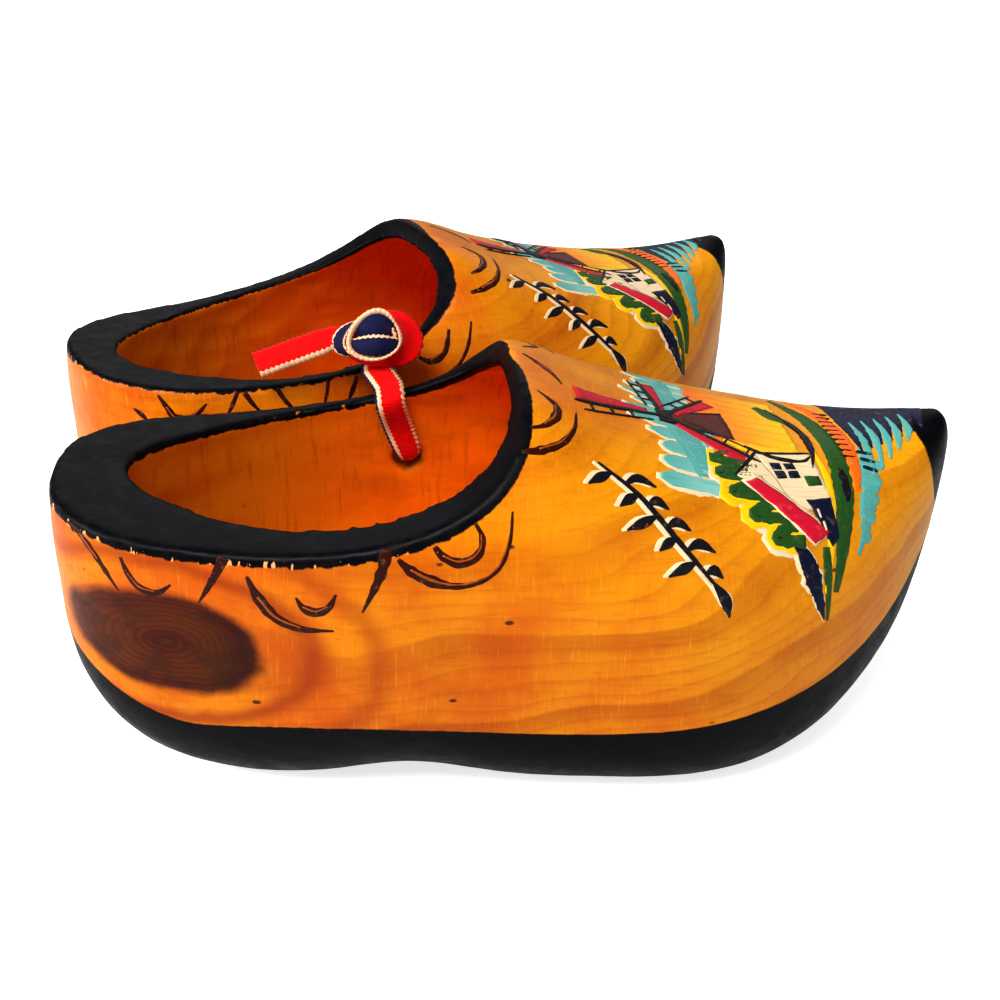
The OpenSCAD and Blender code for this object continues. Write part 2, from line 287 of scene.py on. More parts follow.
class Graph:
    """Short names for the shader nodes that the materials use."""

    def __init__(self, name):
        self.material = bpy.data.materials.new(name)
        self.material.use_nodes = True
        self.tree = self.material.node_tree
        self.tree.nodes.clear()

    def node(self, kind, **settings):
        made = self.tree.nodes.new(kind)
        for key, value in settings.items():
            setattr(made, key, value)
        return made

    def plug(self, value, socket):
        if isinstance(value, bpy.types.NodeSocket):
            self.tree.links.new(value, socket)
        elif value is not None:
            socket.default_value = value

    def math(self, operation, a, b=0.0, clamp=False):
        made = self.node("ShaderNodeMath", operation=operation, use_clamp=clamp)
        self.plug(a, made.inputs[0])
        self.plug(b, made.inputs[1])
        return made.outputs[0]

    def plus(self, a, b):
        return self.math("ADD", a, b)

    def minus(self, a, b, clamp=False):
        return self.math("SUBTRACT", a, b, clamp)

    def times(self, value, *others):
        for other in others:
            value = self.math("MULTIPLY", value, other)
        return value

    def sway(self, value, reach):
        """A noise value turned into a swing about zero."""
        return self.times(self.minus(value, 0.5), reach)

    def vector(self, operation, a, b=(0, 0, 0)):
        made = self.node("ShaderNodeVectorMath", operation=operation)
        self.plug(a, made.inputs[0])
        self.plug(b, made.inputs[1])
        return made.outputs["Value" if operation == "LENGTH" else "Vector"]

    def split(self, vector):
        made = self.node("ShaderNodeSeparateXYZ")
        self.plug(vector, made.inputs[0])
        return made.outputs

    def join(self, x, y, z):
        made = self.node("ShaderNodeCombineXYZ")
        for socket, value in zip(made.inputs, (x, y, z)):
            self.plug(value, socket)
        return made.outputs[0]

    def field(self, name, vector=False):
        made = self.node("ShaderNodeAttribute", attribute_name=name)
        return made.outputs["Vector" if vector else "Fac"]

    def object_mm(self):
        """Places in millimetres, in the piece's own coordinates."""
        place = self.node("ShaderNodeTexCoord").outputs["Object"]
        return self.vector("MULTIPLY", place, (1 / MM, 1 / MM, 1 / MM))

    def noise(self, vector, scale=1.0, detail=2.0, roughness=0.5, distortion=0.0):
        made = self.node("ShaderNodeTexNoise")
        self.plug(vector, made.inputs["Vector"])
        settings = {"Scale": scale, "Detail": detail, "Roughness": roughness, "Distortion": distortion}
        for key, value in settings.items():
            made.inputs[key].default_value = value
        return made.outputs["Fac"]

    def grain(self, vector, stretch, detail=3, roughness=0.6, distortion=0.0):
        """Noise with its own scale along each axis."""
        return self.noise(self.vector("MULTIPLY", vector, stretch), 1.0, detail, roughness, distortion)

    def cells(self, vector, scale=1.0):
        made = self.node("ShaderNodeTexVoronoi")
        self.plug(vector, made.inputs["Vector"])
        made.inputs["Scale"].default_value = scale
        return made.outputs["Distance"], made.outputs["Color"]

    def ramp(self, value, *stops, ease="LINEAR"):
        made = self.node("ShaderNodeValToRGB")
        self.plug(value, made.inputs[0])
        made.color_ramp.interpolation = ease
        elements = made.color_ramp.elements
        while len(elements) < len(stops):
            elements.new(0.5)
        for element, (place, colour) in zip(elements, stops):
            element.position = place
            element.color = (*colour, 1) if isinstance(colour, tuple) else (colour, colour, colour, 1)
        return made.outputs["Color"]

    def range(self, value, low, high, to_low=0.0, to_high=1.0):
        made = self.node("ShaderNodeMapRange", interpolation_type="SMOOTHSTEP")
        for socket, v in zip(made.inputs, (value, low, high, to_low, to_high)):
            self.plug(v, socket)
        return made.outputs[0]

    def mix(self, share, a, b):
        made = self.node("ShaderNodeMix", data_type="RGBA")
        self.plug(share, made.inputs["Factor"])
        for value, name in ((a, "A"), (b, "B")):
            socket = [i for i in made.inputs if i.name == name and i.type == "RGBA"][0]
            self.plug((*value, 1) if isinstance(value, tuple) else value, socket)
        return [o for o in made.outputs if o.type == "RGBA"][0]

    def tinge(self, colour, tint, share, most=1.0):
        """The colour with tint mixed in, by a share of at most so much."""
        return self.mix(self.times(share, most), colour, tint)

    def blend(self, share, a, b):
        """a where share is 0 and b where it is 1, for plain numbers."""
        return self.plus(self.times(a, self.minus(1.0, share)), self.times(b, share))

    def bump(self, height, strength, distance):
        made = self.node("ShaderNodeBump")
        made.inputs["Strength"].default_value = strength
        made.inputs["Distance"].default_value = distance
        self.plug(height, made.inputs["Height"])
        return made.outputs[0]

    def finish(self, colour, roughness, normal=None, coat=0.0, coat_roughness=0.2, sheen=0.0, specular=0.5):
        shader = self.node("ShaderNodeBsdfPrincipled")
        settings = {
            "Base Color": (*colour, 1) if isinstance(colour, tuple) else colour,
            "Roughness": roughness, "Normal": normal, "Coat Weight": coat,
            "Coat Roughness": coat_roughness, "Sheen Weight": sheen, "Specular IOR Level": specular,
        }
        for key, value in settings.items():
            self.plug(value, shader.inputs[key])
        output = self.node("ShaderNodeOutputMaterial")
        self.tree.links.new(shader.outputs[0], output.inputs[0])
        return self.material


def srgb(r, g, b):
    """A colour as the eye names it, 0 to 255, in Blender's linear light."""
    return tuple(((c / 255 + 0.055) / 1.055) ** 2.4 if c > 10 else c / 255 / 12.92 for c in (r, g, b))


PALE_WOOD = srgb(214, 128, 3)
AMBER_WOOD = srgb(196, 90, 0)
DARK_GRAIN = srgb(142, 50, 0)
STAIN_WOOD = srgb(176, 70, 0)
# A lighter honey wood, laid over the vamp as painted light.
LIT_HONEY_WOOD = srgb(226, 156, 16)
CHIPPED_WOOD = srgb(238, 176, 110)
KNOT_BROWN = srgb(30, 4, 0)
KNOT_LIGHT = srgb(70, 20, 0)
# The two red hollow colours below are brightened as painted light at the hollow's toe end.
LIT_HOLLOW_RED = srgb(252, 122, 6)
HOLLOW_TAN = srgb(196, 118, 12)
LEFT_LIT_HOLLOW_RED = srgb(236, 98, 3)
NAVY = srgb(1, 2, 6)
DULL_NAVY = srgb(14, 11, 14)
CREAM = srgb(238, 204, 160)
SANDED_WOOD = srgb(246, 176, 40)
PIT_BROWN = srgb(52, 18, 4)
BLACK = (0.0, 0.0, 0.0)

# Middle, half length and height, and tilt of the knot on the right clog's heel, in its own frame.
KNOT_X, KNOT_Z = -13.0, 28.8
KNOT_HALF_X, KNOT_HALF_Z = 13.6, 8.4
KNOT_TILT = math.radians(-8)
TIP = (110.0, 1.6, 46.0)
SOFT_EDGE = 0.12


def wood_material(clog):
    """Varnished wood with dark paint over its rim, sole and toe."""
    g = Graph(clog.side + "_painted_wood")
    own = g.field("own_mm", vector=True)
    shifted = g.vector("ADD", own, (0, 0, 0) if clog is RIGHT else (210, 40, 90))
    hollow = g.field("hollow")
    colour = wood_figure(g, clog, own, shifted)
    colour = g.tinge(colour, lining(g, clog, own, shifted), hollow, 0.78)

    paint, chip = dark_paint(g, own, shifted, hollow)
    worn = g.noise(shifted, 0.3, 5, 0.7)
    dark = g.mix(g.range(worn, 0.4, 0.75), NAVY, DULL_NAVY)
    fleck, fleck_colour = g.cells(shifted, 0.12)
    chosen = g.range(g.split(fleck_colour)[1], 0.7, 0.75)
    dark = g.tinge(dark, CREAM, g.range(fleck, 0.045, 0.03), chosen)
    colour = g.tinge(colour, CHIPPED_WOOD, chip, 0.7)
    colour = g.mix(paint, colour, dark)

    fibres = g.grain(shifted, (0.12, 1.9, 1.9), 4, 0.65, 0.3)
    sanding = g.grain(shifted, (3.4, 0.5, 0.22))
    height = g.plus(g.times(fibres, 0.5), g.times(sanding, 0.25))
    brushed = g.times(g.noise(shifted, 0.9, 4, 0.6), 1.2)
    height = g.blend(paint, height, g.plus(brushed, 0.7))
    normal = g.bump(height, 0.4, 0.12 * MM)
    roughness = g.blend(paint, g.blend(hollow, 0.4, 0.62), g.range(worn, 0.3, 0.7, 0.36, 0.55))
    coat = g.blend(paint, g.blend(hollow, 0.08, 0.0), 0.02)
    return g.finish(colour, roughness, normal, coat, 0.22, specular=g.blend(paint, 0.1, 0.08))


def lining(g, clog, own, shifted):
    """Wood in the hollow: tan at the heel, running to a brighter red at the toe that is painted light on the
    hollow's front wall, with clouds and scrapes of darker wood.
    """
    x = g.split(own)[0]
    # Painted light: the hollow turns brighter and redder towards the toe, on its front wall.
    colour = g.mix(g.range(x, -12.0, 34.0), HOLLOW_TAN, LIT_HOLLOW_RED if clog is RIGHT else LEFT_LIT_HOLLOW_RED)
    shade = g.grain(shifted, (0.05, 0.12, 0.12))
    colour = g.tinge(colour, STAIN_WOOD, g.range(shade, 0.42, 0.68), 0.5)
    scraped = g.grain(shifted, (1.1, 0.3, 0.12))
    return g.tinge(colour, DARK_GRAIN, g.range(scraped, 0.52, 0.75), 0.45)


def wood_figure(g, clog, own, shifted):
    """Varnished wood: growth rings that part round a knot, fibres, sanding marks, stains and pits, with
    painted light over the vamp.
    """
    x, y, z = g.split(own)
    away, along_knot = from_knot(g, x, z)
    knotted = g.range(y, -2.0, -14.0) if clog is RIGHT else 0.0
    broad, fine = growth_rings(g, (x, y, z), shifted, away, knotted)
    strength = g.range(g.noise(shifted, 0.03, 2, 0.5), 0.3, 0.65, 0.3, 0.9)
    fibres = g.grain(shifted, (0.1, 1.7, 1.7), 4, 0.65, 0.3)
    sanding = g.grain(shifted, (3.4, 0.5, 0.22))
    weaving = g.grain(shifted, (0.5, 2.2, 2.2), 3, 0.7)
    stain = g.noise(shifted, 0.05, 4, 0.62)

    colour = g.mix(g.range(stain, 0.35, 0.68), PALE_WOOD, AMBER_WOOD)
    # Painted light: lighter honey wood over the vamp, most towards its top, and patchy where the wood is
    # stained.
    painted_vamp_light = g.times(g.range(x, 20.0, 84.0), g.range(stain, 0.75, 0.4, 0.6, 1.0),
                       g.range(z, 18.0, 46.0, 0.5, 1.0))
    colour = g.mix(painted_vamp_light, colour, LIT_HONEY_WOOD)
    for share, most, tint in (
        (g.times(broad, strength), 0.62, DARK_GRAIN),
        (g.times(fine, strength), 0.3, DARK_GRAIN),
        (g.range(fibres, 0.5, 0.78), 0.32, DARK_GRAIN),
        (g.range(sanding, 0.55, 0.8), 0.34, STAIN_WOOD),
        (g.range(sanding, 0.45, 0.2), 0.3, SANDED_WOOD),
        (g.range(weaving, 0.5, 0.8), 0.22, STAIN_WOOD),
    ):
        colour = g.tinge(colour, tint, share, most)
    if clog is RIGHT:
        colour = knot_wood(g, own, colour, away, along_knot, knotted)

    spot, spot_colour = g.cells(g.vector("MULTIPLY", shifted, (0.8, 1.0, 1.4)), 0.13)
    chosen = g.range(g.split(spot_colour)[0], 0.5, 0.55)
    pit = g.times(g.range(spot, 0.085, 0.05), chosen)
    return g.tinge(colour, PIT_BROWN, pit, 0.9)


def from_knot(g, x, z):
    """Distance from the knot's middle, in the knot's own half sizes, and the part of it along the knot."""
    from_x, from_z = g.minus(x, KNOT_X), g.minus(z, KNOT_Z)
    level, steep = math.cos(KNOT_TILT), math.sin(KNOT_TILT)
    dx = g.math("DIVIDE", g.plus(g.times(from_x, level), g.times(from_z, steep)), KNOT_HALF_X)
    dz = g.math("DIVIDE", g.minus(g.times(from_z, level), g.times(from_x, steep)), KNOT_HALF_Z)
    return g.math("SQRT", g.plus(g.times(dx, dx), g.times(dz, dz))), dx


def growth_rings(g, place, shifted, away, knotted):
    """How dark the broad and the fine growth rings are; they part round the knot."""
    x, y, z = place
    warp = g.plus(g.sway(g.grain(shifted, (0.014, 0.03, 0.03), 2, 0.5), 17.0),
                  g.sway(g.grain(shifted, (0.06, 0.12, 0.12), 2, 0.5), 2.0))
    flow = g.math("DIVIDE", 1.0, g.math("MAXIMUM", g.times(away, away), 1.0))
    flow = g.minus(1.0, g.times(flow, knotted))
    from_pith = g.vector("LENGTH", g.join(0.0, g.plus(y, 16.0), g.plus(z, 70.0)))
    rising = g.times(g.math("POWER", g.math("MAXIMUM", g.minus(x, 30.0), 0.0), 1.6), 0.012)
    level = g.minus(g.minus(from_pith, 100.0), rising)
    level = g.minus(g.plus(g.times(level, flow), warp), g.times(x, 0.05))
    broad = g.ramp(g.math("FRACT", g.math("DIVIDE", level, 11.0)),
                   (0.0, 0.1), (0.5, 0.15), (0.86, 0.9), (0.95, 0.75), (1.0, 0.1), ease="EASE")
    fine = g.ramp(g.math("FRACT", g.math("DIVIDE", level, 2.3)),
                  (0.0, 0.0), (0.6, 0.2), (0.92, 1.0), (1.0, 0.0))
    return broad, fine


def knot_wood(g, own, colour, away, along_knot, knotted):
    """The knot over the plain wood: a swirl round it, fine uneven rings, and a darker end."""
    edge = g.plus(away, g.sway(g.noise(own, 0.1, 2), 0.3))
    swirl = g.math("POWER", g.plus(g.times(g.math("SINE", g.times(edge, 9.0)), 0.5), 0.5), 2.0)
    swirl = g.times(swirl, g.range(edge, 3.4, 1.4), knotted)
    colour = g.tinge(colour, DARK_GRAIN, swirl, 0.8)
    rough = g.sway(g.noise(own, 0.45, 4, 0.6), 0.12)
    tight = g.math("SINE", g.times(g.plus(edge, rough), 62.0))
    heart = g.mix(g.range(tight, -0.6, 1.0, 0.0, 0.55), KNOT_LIGHT, KNOT_BROWN)
    cloud = g.grain(own, (0.2, 0.2, 0.35), 4)
    heart = g.tinge(heart, KNOT_BROWN, g.range(cloud, 0.42, 0.62), 0.7)
    heart = g.tinge(heart, KNOT_BROWN, g.range(along_knot, 0.25, 0.9), 0.75)
    border = g.plus(edge, g.times(rough, 1.2))
    return g.tinge(colour, heart, g.times(g.range(border, 1.13, 0.9), knotted), 0.95)


def dark_paint(g, own, shifted, hollow):
    """Where dark paint covers the rim, the sole and the toe tip, and where it is chipped off."""
    x, y, z = g.split(own)
    inner = g.range(y, -3.0, 6.0)
    rim_mm = g.field("rim_mm")
    ragged = g.sway(g.noise(shifted, 0.5, 5, 0.62), 1.7)
    ragged = g.times(ragged, g.range(x, 34.0, 20.0, 0.45, 1.0))
    chips = g.grain(shifted, (1.1, 1.1, 0.12))
    chips = g.times(g.range(chips, 0.56, 0.72), g.range(x, 26.0, 8.0),
                    g.minus(g.range(rim_mm, 0.35, 1.0), hollow, clamp=True))
    # The paint laps this far over the rim's outer and inner edges, and further down near the throat.
    lap = g.blend(hollow, g.blend(inner, 1.6, 0.5), g.blend(inner, 0.5, 1.1))
    lap = g.plus(lap, g.times(hollow, 0.7, g.range(x, 20.0, 34.0)))
    over_rim = g.minus(g.minus(lap, rim_mm), ragged)
    whole_rim = g.range(over_rim, -SOFT_EDGE, SOFT_EDGE)
    rim_paint = g.range(g.minus(over_rim, g.times(chips, 2.6)), -SOFT_EDGE, SOFT_EDGE)
    below_line = g.minus(g.plus(sole_height(g, x), g.times(ragged, 0.3)), z)
    sole_paint = g.minus(g.range(below_line, -SOFT_EDGE, SOFT_EDGE), hollow, clamp=True)
    from_tip = g.vector("MULTIPLY", g.vector("SUBTRACT", own, TIP), (1.0, 0.9, 0.8))
    toe_paint = g.range(g.plus(g.vector("LENGTH", from_tip), ragged), 9.4, 9.0)
    paint = g.math("MAXIMUM", g.math("MAXIMUM", rim_paint, sole_paint), toe_paint)
    return paint, g.minus(whole_rim, rim_paint, clamp=True)


def sole_height(g, x):
    """Height of the sole paint's upper border in mm: level, then up round the heel and the toe."""
    level = g.plus(g.times(g.math("SINE", g.times(x, 0.105)), 0.6), 14.6)
    heel = g.math("MAXIMUM", g.minus(-9.0, x), 0.0)
    toe = g.math("MAXIMUM", g.minus(x, 56.0), 0.0)
    level = g.plus(level, g.times(g.math("POWER", heel, 1.5), 0.11))
    return g.plus(level, g.times(g.math("POWER", toe, 2.6), 0.00062))


# ---------------------------------------------------------------- painted decoration

# Every painted mark is placed by x along the clog, in mm from its heel pad, and by the angle round it
# from upright, in degrees, seen from this line inside the clog.
TURN_Y, TURN_Z = 1.5, 24.0
ARC = 0.5
RAY_FROM = 80
SEED_STEP = 7.3
EDGE_SINK, STROKE_SINK, PATCH_SINK = 0.04, 0.09, 0.08
WOBBLE = 0.22
INK = srgb(20, 18, 24)
BRUSH_BROWN = srgb(50, 12, 0)
# Colour of the garland's painted highlights.
WARM_LIGHT = srgb(150, 70, 16)
TEAL = srgb(86, 158, 150)
SKY_PALE = srgb(132, 186, 176)
RED = srgb(170, 8, 20)
CRIMSON = srgb(194, 22, 50)
MILL_BROWN = srgb(84, 30, 20)
ORANGE = srgb(232, 100, 18)
YELLOW = srgb(238, 186, 10)
LEAF = srgb(38, 78, 30)
SEA = srgb(14, 20, 46)
LIMEWASH = srgb(226, 200, 160)


def through(points, gap):
    """A smooth curve through points of (x, angle, width), at about an even gap in mm."""
    points = [np.array(p, float) for p in points]
    ends = [2 * points[0] - points[1], *points, 2 * points[-1] - points[-2]]
    out = []
    for a, b, c, d in zip(ends, ends[1:], ends[2:], ends[3:]):
        length = math.hypot(c[0] - b[0], (c[1] - b[1]) * ARC)
        steps = max(2, round(length / gap))
        for k in range(steps):
            t = k / steps
            out.append(0.5 * (2 * b + (c - a) * t + (2 * a - 5 * b + 4 * c - d) * t ** 2
                              + (3 * b - a - 3 * c + d) * t ** 3))
    return out + [points[-1]]


def between_tints(tint, fade, share):
    """The colour a share of the way from tint to fade, if there is a fade."""
    return tint if fade is None else tuple(a + (b - a) * share for a, b in zip(tint, fade))


class Film:
    """Thin raised paint on one clog: closed strokes and patches that follow the wood."""

    def __init__(self, clog, tree, name):
        self.clog = clog
        self.tree = tree
        self.name = clog.side + "_clog_" + name
        self.face = -1 if clog is RIGHT else 1
        self.points, self.faces, self.tints, self.marks = [], [], [], []
        self.seed = 0.0

    def on_wood(self, x, angle):
        """Place and normal on the wood, in the row frame."""
        turn = math.radians(angle)
        out = np.array([0, self.face * math.sin(turn), math.cos(turn)])
        start = self.clog.to_row(np.array([x, TURN_Y, TURN_Z]) + RAY_FROM * out)
        place, normal, _, _ = self.tree.ray_cast(Vector(start), Vector(-out @ self.clog.rows))
        return place, normal

    def lifted(self, place, height):
        """The nearest place on the wood, raised by height in mm."""
        near, normal, _, _ = self.tree.find_nearest(place)
        return near + normal * height * MM

    def add(self, point, tint, along, across):
        self.points.append(point)
        self.tints.append((*tint, 1))
        self.marks.append((along, across, self.seed))
        return len(self.points) - 1

    def stroke(self, points, tint, lift=0.06, gap=0.5, ragged=0.1, fade=None):
        """One brush stroke; fade is a second colour that it runs into."""
        self.seed += SEED_STEP
        path = through(points, gap)
        places = [self.on_wood(p[0], p[1]) for p in path]
        rings = []
        along = 0.0
        for i, (p, (place, normal)) in enumerate(zip(path, places)):
            before, after = places[max(i - 1, 0)][0], places[min(i + 1, len(path) - 1)][0]
            along += (place - before).length / MM
            aside = normal.cross(after - before).normalized()
            uneven = 1 + ragged * noise.noise(Vector((along * 0.9, self.seed, 0)))
            half = max(p[2], 0.05) / 2 * uneven * MM
            colour = between_tints(tint, fade, i / (len(path) - 1))
            ring = []
            for across in (-1, -0.82, -0.35, 0.35, 0.82, 1):
                height = lift if abs(across) < 1 else -EDGE_SINK
                point = self.lifted(place + aside * half * across, height)
                ring.append(self.add(point, colour, along, across * half / MM))
            ring.append(self.add(self.lifted(place, -STROKE_SINK), colour, along, 0))
            rings.append(ring)
        n = len(rings[0])
        for a, b in zip(rings, rings[1:]):
            self.faces += [(a[k], a[(k + 1) % n], b[(k + 1) % n], b[k]) for k in range(n)]
        self.faces.append(tuple(reversed(rings[0])))
        self.faces.append(tuple(rings[-1]))

    def patch(self, corners, tint, lift=0.06, gap=0.7, fade=None):
        """A four-cornered area of paint; it runs into fade at its second and third corners."""
        self.seed += SEED_STEP
        a, b, c, d = [np.array(p, float) for p in corners]
        sides = ((a, b), (d, c), (a, d), (b, c))
        reach = [math.hypot(q[0] - p[0], (q[1] - p[1]) * ARC) for p, q in sides]
        across = max(2, round(max(reach[:2]) / gap))
        down = max(2, round(max(reach[2:]) / gap))
        top, under = [], []
        for j in range(down + 1):
            for i in range(across + 1):
                u, v = i / across, j / down
                p = (1 - v) * ((1 - u) * a + u * b) + v * ((1 - u) * d + u * c)
                wobble = WOBBLE * noise.noise_vector(Vector((p[0] * 0.8, p[1] * 0.4, self.seed)))
                place, normal = self.on_wood(p[0] + wobble.x, p[1] + wobble.y / ARC)
                colour = between_tints(tint, fade, u)
                top.append(self.add(place + normal * lift * MM, colour, p[0], p[1] * ARC))
                under.append(self.add(place - normal * PATCH_SINK * MM, colour, p[0], p[1] * ARC))
        wide = across + 1
        for j in range(down):
            for i in range(across):
                k = j * wide + i
                self.faces.append((top[k], top[k + 1], top[k + wide + 1], top[k + wide]))
                self.faces.append((under[k + wide], under[k + wide + 1], under[k + 1], under[k]))
        border = list(range(wide)) + [j * wide + across for j in range(1, down + 1)]
        border += [down * wide + i for i in range(across - 1, -1, -1)]
        border += [j * wide for j in range(down - 1, 0, -1)]
        for k, m in zip(border, border[1:] + border[:1]):
            self.faces.append((top[m], top[k], under[k], under[m]))

    def line(self, start, end, width, tint, lift=0.06):
        """A straight stroke that thins at both ends."""
        start, end = np.array(start, float), np.array(end, float)
        stops = [(0, 0.5), (0.15, 1), (0.85, 0.9), (1, 0.4)]
        self.stroke([(*(start + (end - start) * t), width * w) for t, w in stops], tint, lift)

    def built(self):
        mesh = outward_mesh(self.name, self.points, self.faces)
        tint = mesh.attributes.new("tint", "FLOAT_COLOR", "POINT")
        tint.data.foreach_set("color", np.array(self.tints, np.float32).ravel())
        attribute(mesh, "mark", np.array(self.marks))
        mesh.polygons.foreach_set("use_smooth", [True] * len(mesh.polygons))
        piece = linked(self.name, mesh)
        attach(piece, self.clog.body)
        return piece


def garland(clog, tree):
    """Brown brush strokes under the rim and round the throat, on both sides of a clog; the longer ones carry
    a painted highlight along their upper edge.
    """
    film = Film(clog, tree, "garland")
    seen = film.face
    hanging = [
        [(-25.4, 37, 0.4), (-23.4, 42, 1.0), (-21, 50, 1.2), (-18.5, 60, 0.3)],
        [(-17.7, 50, 0.5), (-16.8, 55, 1.1), (-15.4, 59, 1.3), (-13.2, 60.8, 1.2), (-11, 58.5, 0.3)],
        [(-3.4, 52, 1.5), (-5.0, 57, 1.2), (-7.4, 64, 0.3)],
        [(-0.5, 57, 0.6), (0.9, 63, 1.7), (3.2, 69, 1.8), (6.6, 72.4, 1.2), (11, 73, 0.3)],
        [(6.0, 63, 0.4), (7.0, 66, 1.3), (8.7, 67.3, 1.6), (10.4, 66, 1.2), (11.5, 62.5, 0.4)],
        [(18.6, 52, 2.0), (17.6, 58, 1.6), (15, 67.5, 0.3)],
        [(20, 54.5, 0.6), (21.8, 57.4, 1.6), (24.6, 60, 1.7), (28, 61.4, 1.2), (31.4, 60.4, 0.8),
         (34, 57, 0.7), (35.4, 51, 0.6), (35.8, 45, 0.3)],
        [(25, 52, 0.8), (26.2, 54.4, 1.4), (28.2, 55.9, 1.6), (30.2, 55.2, 1.5), (31.4, 53, 1.2),
         (31.5, 50, 0.9), (30.6, 47.2, 0.4)],
    ]
    between = [
        [(-23.4, 39, 0.4), (-22.4, 42.5, 0.9), (-21.6, 46, 0.3)],
        [(-19.6, 38.5, 0.5), (-18.6, 43.6, 1.0), (-17.6, 47.6, 1.3), (-15.4, 49.2, 1.1), (-13.6, 47.8, 0.9),
         (-12.4, 46, 0.3)],
        [(-7.0, 44.5, 0.9), (-8.3, 48.5, 0.8), (-9.6, 52, 0.3)],
        [(-6.0, 45.5, 0.9), (-5.0, 49.5, 0.8), (-3.7, 53.2, 0.3)],
        [(-0.6, 46.5, 1.0), (0.5, 51, 0.9), (1.8, 54.5, 0.3)],
        [(8.4, 47.5, 0.7), (7.8, 51.5, 0.7), (6.9, 55.8, 0.3)],
        [(13.5, 48.5, 1.0), (12.3, 52.5, 0.9), (11, 56.5, 0.3)],
        [(36.2, 40, 0.4), (34.7, 46.7, 0.8), (32.1, 52, 0.8), (27.8, 55.4, 0.9), (23.6, 56.6, 1.0),
         (20, 55.5, 0.5)],
        [(32.0, 40.4, 0.6), (30.4, 46.7, 1.2), (27.6, 48.6, 1.3), (25.4, 46.4, 0.6)],
    ]
    throat = [
        [(39.2, 26, 0.5), (41.4, 24.8, 1.2), (43.2, 21.6, 1.6), (43.6, 17.4, 1.2), (41.2, 13.0, 0.4)],
        [(37.6, 32, 0.7), (40.2, 31.6, 1.5), (43.6, 29.0, 1.3), (45.8, 24, 0.8), (46.6, 18, 0.3)],
        [(40.7, -7, 0.4), (42.8, -3, 1.3), (44.6, 1.5, 1.1), (45.6, 6, 0.3)],
    ]
    for face in (seen, -seen):
        film.face = face
        beside = between if clog is LEFT and face == seen else hanging
        for points in beside + throat[:3 if face == seen else 2]:
            film.stroke(points, BRUSH_BROWN, lift=0.04, gap=0.3, ragged=0.3)
            # Painted highlight: a thin lighter stroke along the upper edge of each longer stroke.
            if len(points) > 3:
                glint = [(x - 0.1, a - 0.4, w * 0.22) for x, a, w in points[1:-1]]
                film.stroke(glint, WARM_LIGHT, lift=0.06, gap=0.4, ragged=0.9)
    return film.built()


def sprig(clog, tree):
    """A leafy sprig in black over cream, across the visible side of the vamp."""
    film = Film(clog, tree, "sprig")
    turn = 0 if clog is RIGHT else -7
    stem = [(48.5, 33 + turn, 0.5), (54, 41 + turn, 0.9), (59, 52 + turn, 1.0), (64.5, 64 + turn, 0.5)]
    stem = through(stem, 2.1)
    for shift, tint, lift, fuller in ((-0.75, LIMEWASH, 0.05, 1.15), (0.0, INK, 0.09, 1.0)):
        film.stroke([(x + shift, a, w * fuller) for x, a, w in stem], tint, lift, gap=0.4)
        for k, (x, a, _) in enumerate(stem[1:-1]):
            up = 1 if k % 2 else -1
            size = 3.6 + 1.1 * math.sin(1.9 * k)
            leaf = [(x + shift, a, 0.5 * fuller),
                    (x + shift + 0.46 * size * up, a - up * size * 0.35, 1.75 * fuller),
                    (x + shift + size * up, a - up * size * 0.3 + 2, 0.3 * fuller)]
            film.stroke(leaf, tint, lift, gap=0.4)
        end = [(64.3 + shift, 63.5 + turn, 0.6), (66, 68 + turn, 2.0 * fuller), (66.6, 72.5 + turn, 0.3)]
        film.stroke(end, tint, lift, gap=0.4)
    return film.built()


def windmill(film, turn):
    """Four plain sails on a squat tower."""
    hub = np.array([61.5, 7 + turn])
    film.patch([(62, 4 + turn), (62, 10 + turn), (72, 15 + turn), (72, -4 + turn)], MILL_BROWN, 0.12)
    film.patch([(60.4, 3 + turn), (60.4, 11 + turn), (63, 12 + turn), (63, 2 + turn)], INK, 0.14)
    film.line((62, 4 + turn), (72, -4 + turn), 0.5, INK, 0.16)
    film.line((62, 10 + turn), (72, 15 + turn), 0.6, INK, 0.16)
    for reach, angle, width in ((14.0, 170, 3.4), (15.5, 36, 3.0), (11.5, 262, 2.4), (12.5, -50, 2.6)):
        c, s = math.cos(math.radians(angle)), math.sin(math.radians(angle))
        way, wide = np.array([c, s / ARC]), np.array([-s, c / ARC])
        root, tip = hub + 2.5 * way, hub + reach * way
        film.patch([root, root + 0.45 * width * wide, tip + width * wide, tip], RED, 0.18, fade=CRIMSON)
        film.line(hub - way, tip + 0.8 * way, 0.9, INK, 0.22)
        for k in range(1, 4):
            step = root + (tip - root) * k / 3.5
            film.line(step, step - 1.9 * wide, 0.4, INK, 0.22)
        film.line(root - 1.9 * wide, tip - 1.9 * wide, 0.35, INK, 0.22)


